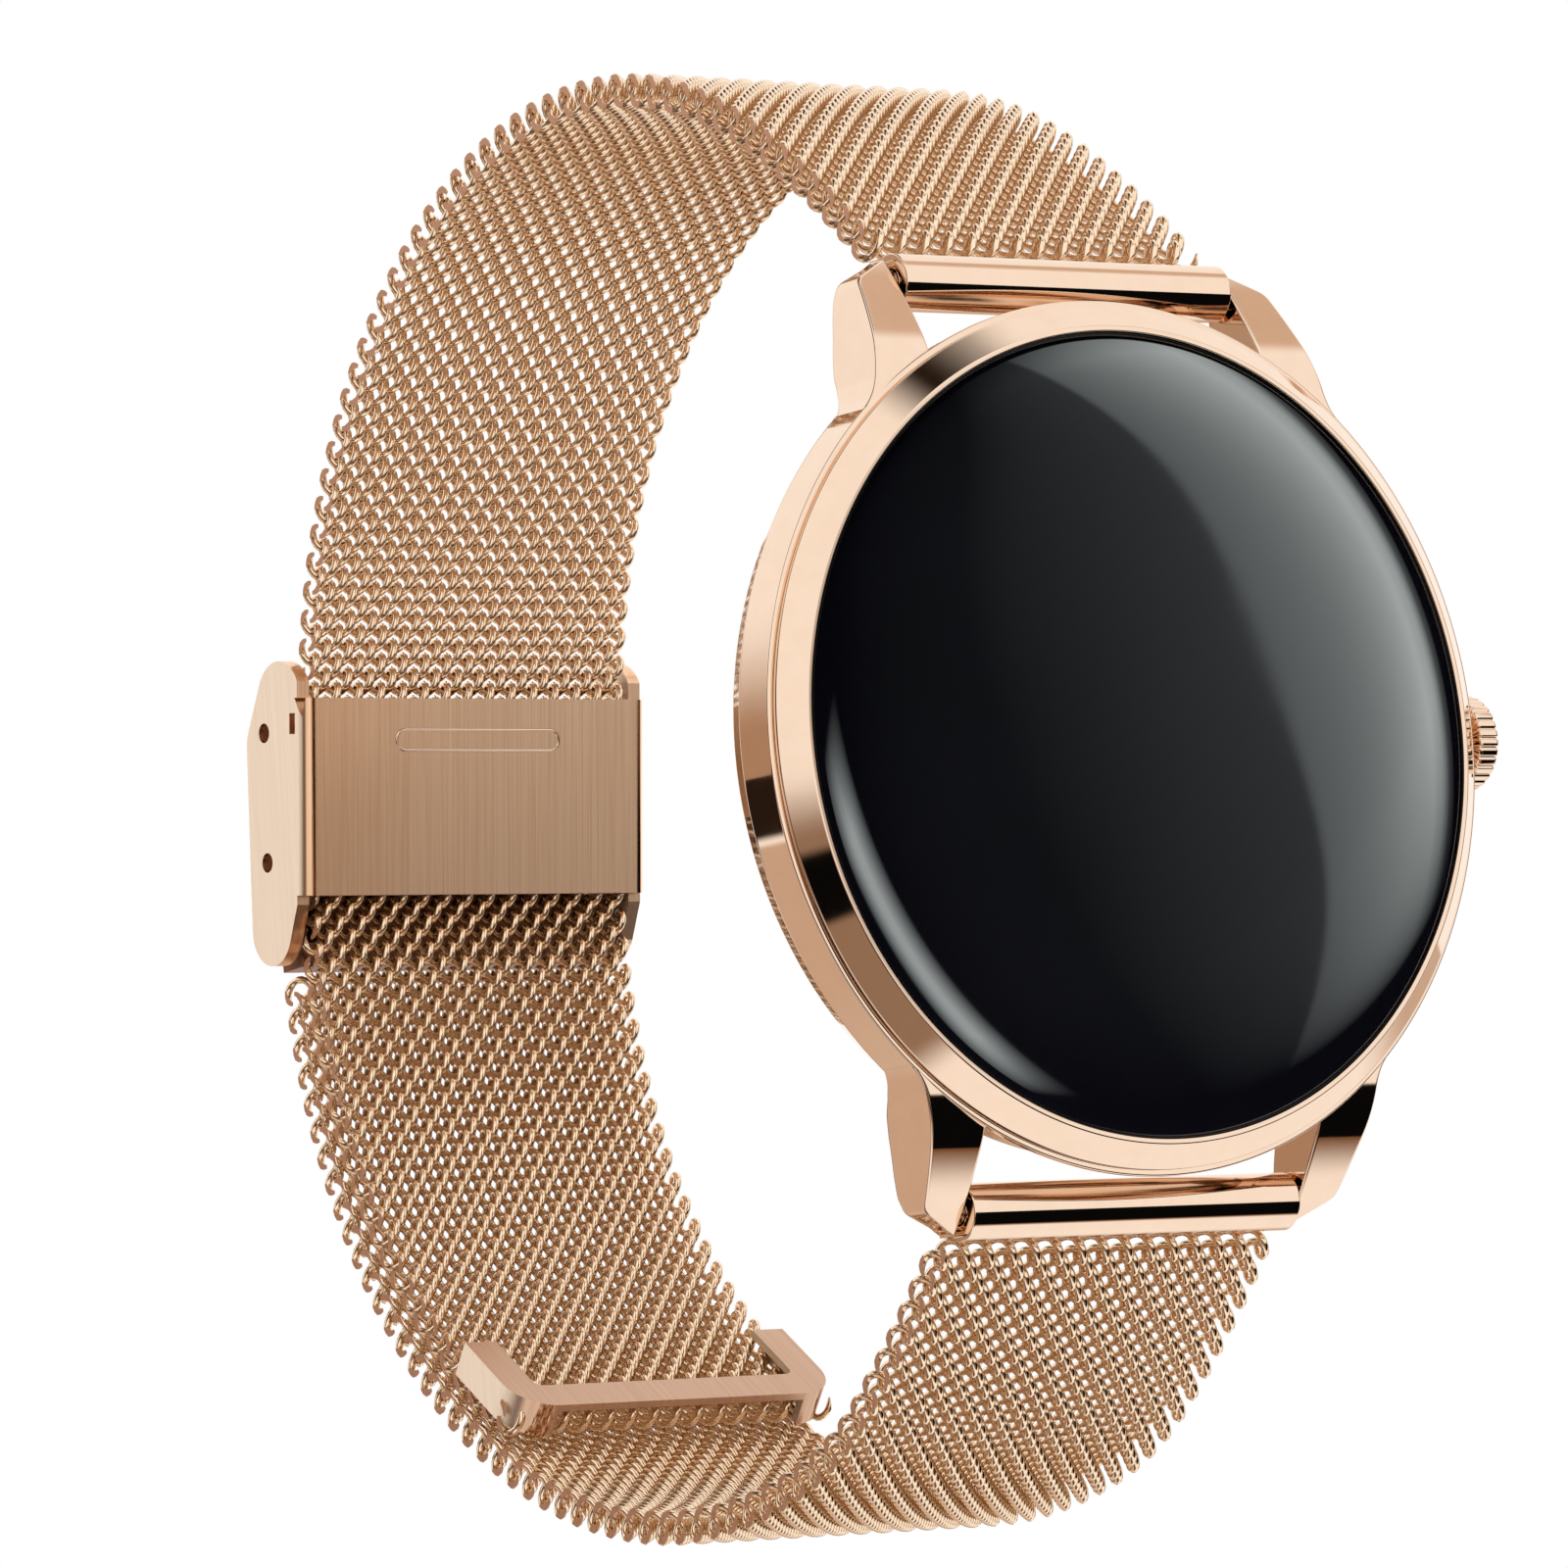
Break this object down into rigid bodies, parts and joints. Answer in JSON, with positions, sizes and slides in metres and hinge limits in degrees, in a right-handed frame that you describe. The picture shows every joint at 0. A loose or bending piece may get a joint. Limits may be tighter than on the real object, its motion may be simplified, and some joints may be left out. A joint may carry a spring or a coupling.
{
  "type": "smartwatch",
  "caption": "Round smartwatch in polished rose-gold metal with a domed dark glass, a fluted crown and a woven mesh strap closed by a sliding fold-over clasp.",
  "frame": {"origin": "centre of the flat of the case back, where the watch meets the wrist", "axes": "+Y from the dial to the wrist, +Z to twelve o'clock, +X to the crown"},
  "size_m": [0.0439, 0.0656, 0.0736],
  "materials": {
    "polished_rose": "polished rose-gold plated steel",
    "brushed_rose": "brushed rose-gold plated steel",
    "woven_rose": "woven rose-gold plated steel wire",
    "steel": "plain stainless steel",
    "dial_glass": "domed glass over a dark display",
    "sensor_glass": "dark domed window",
    "seal": "soft seal",
    "display": "dark display",
    "flex": "amber film",
    "chassis": "moulded frame",
    "battery": "foil-wrapped cell",
    "board": "circuit board",
    "chip": "chip package",
    "led": "lamp lens",
    "photodiode": "light sensor",
    "gold_contact": "gold-plated contact",
    "white_plastic": "moulded wheel"
  },
  "bodies": {
    "case": {"case_frame": "polished_rose", "bezel_ring": "polished_rose", "glass_gasket": "seal", "cover_glass": "dial_glass", "display_panel": "display", "display_flex": "flex", "inner_chassis": "chassis", "battery_cell": "battery", "vibration_motor": "steel", "main_board": "board", "board_chips": "chip", "board_shield": "steel", "sensor_board": "board", "sensor_leds": "led", "sensor_photodiodes": "photodiode", "case_back": "polished_rose", "back_gasket": "seal", "back_screws": "steel", "sensor_window": "sensor_glass", "charging_rings": "gold_contact", "crown_tube": "steel", "crown_seal": "seal", "crown_switch": "chip", "spring_bar_barrels": "polished_rose", "spring_bar_tips": "steel", "spring_bar_springs": "steel"},
    "crown": {"crown": "polished_rose", "stem_clip": "steel"},
    "encoder": {"encoder_wheel": "white_plastic"},
    "upper_strap": {"upper_end_tube": "polished_rose", "upper_mesh": "woven_rose", "tail_clip": "polished_rose"},
    "clasp": {"clasp_base": "brushed_rose", "hook_bar": "polished_rose", "clasp_pin": "polished_rose"},
    "cover": {"clasp_cover": "brushed_rose"},
    "lever": {"lock_lever": "steel"},
    "lower_strap": {"lower_end_tube": "polished_rose", "lower_mesh": "woven_rose", "hook_plate": "steel"}
  },
  "joints": [
    {"name": "crown_spin", "type": "hinge", "parent": "case", "child": "encoder", "pos_m": [0.0159, -0.0048, 0], "axis": [1, 0, 0], "continuous": true},
    {"name": "crown_press", "type": "slide", "parent": "encoder", "child": "crown", "axis": [-1, 0, 0], "range_m": [0, 0.00035], "stiffness_N_per_m": 900},
    {"name": "upper_strap_swing", "type": "hinge", "parent": "case", "child": "upper_strap", "pos_m": [0, -0.00377, 0.02228], "axis": [1, 0, 0], "range_deg": [0, 40]},
    {"name": "lower_strap_swing", "type": "hinge", "parent": "case", "child": "lower_strap", "pos_m": [0, -0.00377, -0.02228], "axis": [1, 0, 0], "range_deg": [-60, 0]},
    {"name": "clasp_slide", "type": "slide", "parent": "upper_strap", "child": "clasp", "axis": [0, -0.1184, 0.993], "range_m": [0, 0.0025]},
    {"name": "cover_flip", "type": "hinge", "parent": "clasp", "child": "cover", "pos_m": [0, 0.05383, 0.00792], "axis": [1, 0, 0], "range_deg": [0, 110]},
    {"name": "lever_lift", "type": "hinge", "parent": "clasp", "child": "lever", "pos_m": [0, 0.05383, 0.00792], "axis": [1, 0, 0], "range_deg": [0, 44]}
  ],
  "couplings": [
    {"joint": "lower_strap_swing", "follows": "upper_strap_swing", "ratio": -1.5},
    {"joint": "lever_lift", "follows": "cover_flip", "ratio": 0.4}
  ]
}
